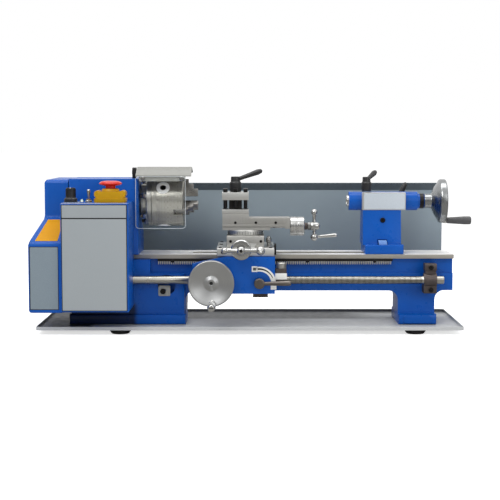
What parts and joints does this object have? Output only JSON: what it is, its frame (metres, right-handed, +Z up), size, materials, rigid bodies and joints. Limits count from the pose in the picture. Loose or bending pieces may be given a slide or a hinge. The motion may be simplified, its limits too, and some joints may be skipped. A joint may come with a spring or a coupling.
{
  "type": "metal lathe",
  "caption": "Bench metal lathe: cast bed on a chip tray, geared headstock with three-jaw chuck, swinging guard, carriage with compound slides, tailstock and rear splash guard.",
  "frame": {"origin": "middle of the bounding box, on the surface that the rubber feet stand on", "axes": "+X along the bed from the headstock to the tailstock, +Y from the operator's side to the splash guard, +Z up"},
  "size_m": [0.75, 0.302, 0.2782],
  "materials": {
    "blue_paint": "glossy enamel",
    "grey_sheet": "satin paint",
    "pale_sheet": "satin paint",
    "black_metal": "black paint",
    "ground_steel": "ground",
    "bright_steel": "polished",
    "dark_steel": "blackened",
    "cast_iron": "machined",
    "chrome": "polished",
    "black_plastic": "satin",
    "yellow_plastic": "satin",
    "red_plastic": "gloss",
    "clear_plastic": "clear",
    "rubber": "matte"
  },
  "bodies": {
    "frame": {"chip_tray": "pale_sheet", "foot_front_left": "rubber", "foot_rear_left": "rubber", "foot_front_right": "rubber", "foot_rear_right": "rubber", "bed": "blue_paint", "rack": "ground_steel", "splash_guard": "grey_sheet", "headstock": "blue_paint", "rear_spindle_bearing": "bright_steel", "front_spindle_bearing": "bright_steel", "control_box": "blue_paint", "gear_cover": "blue_paint", "motor": "black_metal", "drive_belt": "rubber", "leadscrew_bearing": "cast_iron", "switch_housing": "yellow_plastic"},
    "stop_button": {"stop_button": "red_plastic"},
    "speed_knob": {"speed_knob": "black_plastic"},
    "toggle_switch": {"toggle_switch": "chrome"},
    "motor_rotor": {"motor_pulley": "bright_steel"},
    "tumbler_gear": {"tumbler_gear": "dark_steel"},
    "idler_gear": {"idler_gear": "dark_steel"},
    "leadscrew": {"leadscrew": "bright_steel", "leadscrew_gear": "dark_steel"},
    "range_lever": {"range_lever": "black_plastic"},
    "chuck_guard": {"chuck_guard": "pale_sheet", "chuck_guard_window": "clear_plastic"},
    "spindle": {"spindle": "bright_steel", "spindle_pulley": "dark_steel", "chuck_back_plate": "ground_steel", "chuck_body": "bright_steel"},
    "chuck_scroll": {"chuck_scroll": "dark_steel"},
    "carriage": {"saddle": "ground_steel", "apron": "blue_paint", "thread_dial": "cast_iron"},
    "carriage_handwheel": {"carriage_handwheel": "ground_steel"},
    "rack_pinion": {"rack_pinion": "dark_steel"},
    "half_nut_lever": {"half_nut_lever": "black_metal"},
    "upper_half_nut": {"upper_half_nut": "dark_steel"},
    "lower_half_nut": {"lower_half_nut": "dark_steel"},
    "thread_dial_cap": {"thread_dial_cap": "ground_steel"},
    "cross_slide": {"cross_slide": "ground_steel"},
    "cross_feed_crank": {"cross_feed_crank": "bright_steel"},
    "compound_base": {"compound_base": "ground_steel"},
    "top_slide": {"top_slide": "ground_steel"},
    "top_slide_crank": {"top_slide_crank": "bright_steel"},
    "tool_post": {"tool_post": "dark_steel"},
    "tool_clamp_lever": {"tool_clamp_lever": "black_metal"},
    "tailstock": {"tailstock": "blue_paint"},
    "quill": {"quill": "bright_steel"},
    "tailstock_handwheel": {"tailstock_handwheel": "bright_steel"},
    "quill_lock_lever": {"quill_lock_lever": "black_metal"},
    "tailstock_clamp_lever": {"tailstock_clamp_lever": "black_metal"},
    "chuck_pinion_1": {"chuck_pinion_1": "dark_steel"},
    "chuck_jaw_1": {"chuck_jaw_1": "bright_steel"},
    "chuck_pinion_2": {"chuck_pinion_2": "dark_steel"},
    "chuck_jaw_2": {"chuck_jaw_2": "bright_steel"},
    "chuck_pinion_3": {"chuck_pinion_3": "dark_steel"},
    "chuck_jaw_3": {"chuck_jaw_3": "bright_steel"}
  },
  "joints": [
    {"name": "spindle_turn", "type": "hinge", "parent": "frame", "child": "spindle", "pos_m": [-0.2015, 0.039, 0.2182], "axis": [1, 0, 0], "continuous": true},
    {"name": "motor_turn", "type": "hinge", "parent": "frame", "child": "motor_rotor", "pos_m": [-0.346, 0.108, 0.0782], "axis": [1, 0, 0], "continuous": true},
    {"name": "tumbler_gear_turn", "type": "hinge", "parent": "frame", "child": "tumbler_gear", "pos_m": [-0.332, 0.02414, 0.18651], "axis": [1, 0, 0], "continuous": true},
    {"name": "idler_gear_turn", "type": "hinge", "parent": "frame", "child": "idler_gear", "pos_m": [-0.332, -0.00565, 0.15278], "axis": [1, 0, 0], "continuous": true},
    {"name": "leadscrew_turn", "type": "hinge", "parent": "frame", "child": "leadscrew", "pos_m": [-0.332, -0.023, 0.086], "axis": [1, 0, 0], "continuous": true},
    {"name": "jaw_1_slide", "type": "slide", "parent": "spindle", "child": "chuck_jaw_1", "axis": [0, -0.9063, -0.4226], "range_m": [-0.004, 0.009]},
    {"name": "jaw_2_slide", "type": "slide", "parent": "spindle", "child": "chuck_jaw_2", "axis": [0, 0.0872, 0.9962], "range_m": [-0.0041, 0.0091]},
    {"name": "jaw_3_slide", "type": "slide", "parent": "spindle", "child": "chuck_jaw_3", "axis": [0, 0.8192, -0.5736], "range_m": [-0.0041, 0.0091]},
    {"name": "scroll_turn", "type": "hinge", "parent": "spindle", "child": "chuck_scroll", "pos_m": [-0.1554, 0.039, 0.2182], "axis": [1, 0, 0], "range_deg": [-290, 650]},
    {"name": "key_1_turn", "type": "hinge", "parent": "spindle", "child": "chuck_pinion_1", "pos_m": [-0.1604, 0.02589, 0.22738], "axis": [0, -0.8192, 0.5736], "range_deg": [-870, 1950]},
    {"name": "key_2_turn", "type": "hinge", "parent": "spindle", "child": "chuck_pinion_2", "pos_m": [-0.1604, 0.0535, 0.22496], "axis": [0, 0.9063, 0.4226], "range_deg": [-870, 1950]},
    {"name": "key_3_turn", "type": "hinge", "parent": "spindle", "child": "chuck_pinion_3", "pos_m": [-0.1604, 0.03761, 0.20226], "axis": [0, -0.0872, -0.9962], "range_deg": [-870, 1950]},
    {"name": "carriage_move", "type": "slide", "parent": "frame", "child": "carriage", "axis": [1, 0, 0], "range_m": [-0.0398, 0.0398]},
    {"name": "handwheel_turn", "type": "hinge", "parent": "carriage", "child": "carriage_handwheel", "pos_m": [-0.0757, -0.053, 0.0861], "axis": [0, 1, 0], "range_deg": [-1105, 1105]},
    {"name": "rack_pinion_turn", "type": "hinge", "parent": "carriage", "child": "rack_pinion", "pos_m": [-0.05613, -0.045, 0.1036], "axis": [0, 1, 0], "range_deg": [-330, 330]},
    {"name": "thread_dial_turn", "type": "hinge", "parent": "carriage", "child": "thread_dial_cap", "pos_m": [0.042, -0.041, 0.1072], "axis": [0, 0, 1], "range_deg": [-602, 602]},
    {"name": "upper_half_nut_slide", "type": "slide", "parent": "carriage", "child": "upper_half_nut", "axis": [0, 0, 1], "range_m": [0, 0.004]},
    {"name": "lower_half_nut_slide", "type": "slide", "parent": "carriage", "child": "lower_half_nut", "axis": [0, 0, -1], "range_m": [0, 0.0041]},
    {"name": "half_nut_turn", "type": "hinge", "parent": "carriage", "child": "half_nut_lever", "pos_m": [0.0047, -0.053, 0.0836], "axis": [0, -1, 0], "range_deg": [0, 55.2]},
    {"name": "cross_slide_move", "type": "slide", "parent": "carriage", "child": "cross_slide", "axis": [0, 1, 0], "range_m": [-0.0125, 0.04]},
    {"name": "cross_crank_turn", "type": "hinge", "parent": "carriage", "child": "cross_feed_crank", "pos_m": [-0.0257, -0.049, 0.1425], "axis": [0, 1, 0], "range_deg": [-3010, 9620]},
    {"name": "compound_swivel", "type": "hinge", "parent": "cross_slide", "child": "compound_base", "pos_m": [-0.019, 0.012, 0.1617], "axis": [0, 0, -1], "range_deg": [-45, 45]},
    {"name": "top_slide_move", "type": "slide", "parent": "compound_base", "child": "top_slide", "axis": [-1, 0, 0], "range_m": [-0.02, 0.024]},
    {"name": "top_crank_turn", "type": "hinge", "parent": "top_slide", "child": "top_slide_crank", "pos_m": [0.0573, 0.012, 0.1759], "axis": [-1, 0, 0], "range_deg": [-4810, 5780]},
    {"name": "tool_post_turn", "type": "hinge", "parent": "top_slide", "child": "tool_post", "pos_m": [-0.036, 0.012, 0.1988], "axis": [0, 0, 1], "continuous": true},
    {"name": "tool_clamp_turn", "type": "hinge", "parent": "top_slide", "child": "tool_clamp_lever", "pos_m": [-0.036, 0.012, 0.235], "axis": [0, 0, 1], "range_deg": [-90, 60]},
    {"name": "tailstock_move", "type": "slide", "parent": "frame", "child": "tailstock", "axis": [1, 0, 0], "range_m": [-0.04, 0.08]},
    {"name": "quill_move", "type": "slide", "parent": "tailstock", "child": "quill", "axis": [-1, 0, 0], "range_m": [0, 0.06]},
    {"name": "tail_wheel_turn", "type": "hinge", "parent": "tailstock", "child": "tailstock_handwheel", "pos_m": [0.2923, 0.039, 0.2182], "axis": [-1, 0, 0], "range_deg": [0, 14420]},
    {"name": "quill_lock_turn", "type": "hinge", "parent": "tailstock", "child": "quill_lock_lever", "pos_m": [0.192, 0.039, 0.23445], "axis": [0, 0, 1], "range_deg": [-60, 30]},
    {"name": "tail_clamp_turn", "type": "hinge", "parent": "tailstock", "child": "tailstock_clamp_lever", "pos_m": [0.217, 0.089, 0.1432], "axis": [0, 1, 0], "range_deg": [-60, 0]},
    {"name": "guard_swing", "type": "hinge", "parent": "frame", "child": "chuck_guard", "pos_m": [-0.2056, 0.051, 0.2682], "axis": [-1, 0, 0], "range_deg": [0, 95]},
    {"name": "speed_knob_turn", "type": "hinge", "parent": "frame", "child": "speed_knob", "pos_m": [-0.308, -0.077, 0.2215], "axis": [0, 0, 1], "range_deg": [0, 300]},
    {"name": "toggle_swing", "type": "hinge", "parent": "frame", "child": "toggle_switch", "pos_m": [-0.2785, -0.077, 0.2202], "axis": [0, 1, 0], "range_deg": [-12, 12]},
    {"name": "stop_button_press", "type": "slide", "parent": "frame", "child": "stop_button", "axis": [0, 0, -1], "range_m": [0, 0.004], "stiffness_N_per_m": 800},
    {"name": "range_lever_turn", "type": "hinge", "parent": "frame", "child": "range_lever", "pos_m": [-0.261, 0.097, 0.1882], "axis": [0, 1, 0], "range_deg": [-30, 30]}
  ],
  "couplings": [
    {"joint": "motor_turn", "follows": "spindle_turn", "ratio": 2.1429},
    {"joint": "tumbler_gear_turn", "follows": "spindle_turn", "ratio": -1.6923},
    {"joint": "idler_gear_turn", "follows": "spindle_turn", "ratio": 0.6875},
    {"joint": "leadscrew_turn", "follows": "spindle_turn", "ratio": -0.59459},
    {"joint": "jaw_2_slide", "follows": "jaw_1_slide", "ratio": 1},
    {"joint": "jaw_3_slide", "follows": "jaw_1_slide", "ratio": 1},
    {"joint": "scroll_turn", "follows": "jaw_1_slide", "rad_per_m": 1256.6},
    {"joint": "key_1_turn", "follows": "jaw_1_slide", "rad_per_m": 3769.9},
    {"joint": "key_2_turn", "follows": "jaw_1_slide", "rad_per_m": 3769.9},
    {"joint": "key_3_turn", "follows": "jaw_1_slide", "rad_per_m": 3769.9},
    {"joint": "handwheel_turn", "follows": "carriage_move", "rad_per_m": 482.14},
    {"joint": "rack_pinion_turn", "follows": "carriage_move", "rad_per_m": -142.86},
    {"joint": "thread_dial_turn", "follows": "carriage_move", "rad_per_m": 261.8},
    {"joint": "lower_half_nut_slide", "follows": "upper_half_nut_slide", "ratio": 1},
    {"joint": "half_nut_turn", "follows": "upper_half_nut_slide", "rad_per_m": 239.98},
    {"joint": "cross_crank_turn", "follows": "cross_slide_move", "rad_per_m": 4188.8},
    {"joint": "top_crank_turn", "follows": "top_slide_move", "rad_per_m": 4188.8},
    {"joint": "tail_wheel_turn", "follows": "quill_move", "rad_per_m": 4188.8}
  ]
}
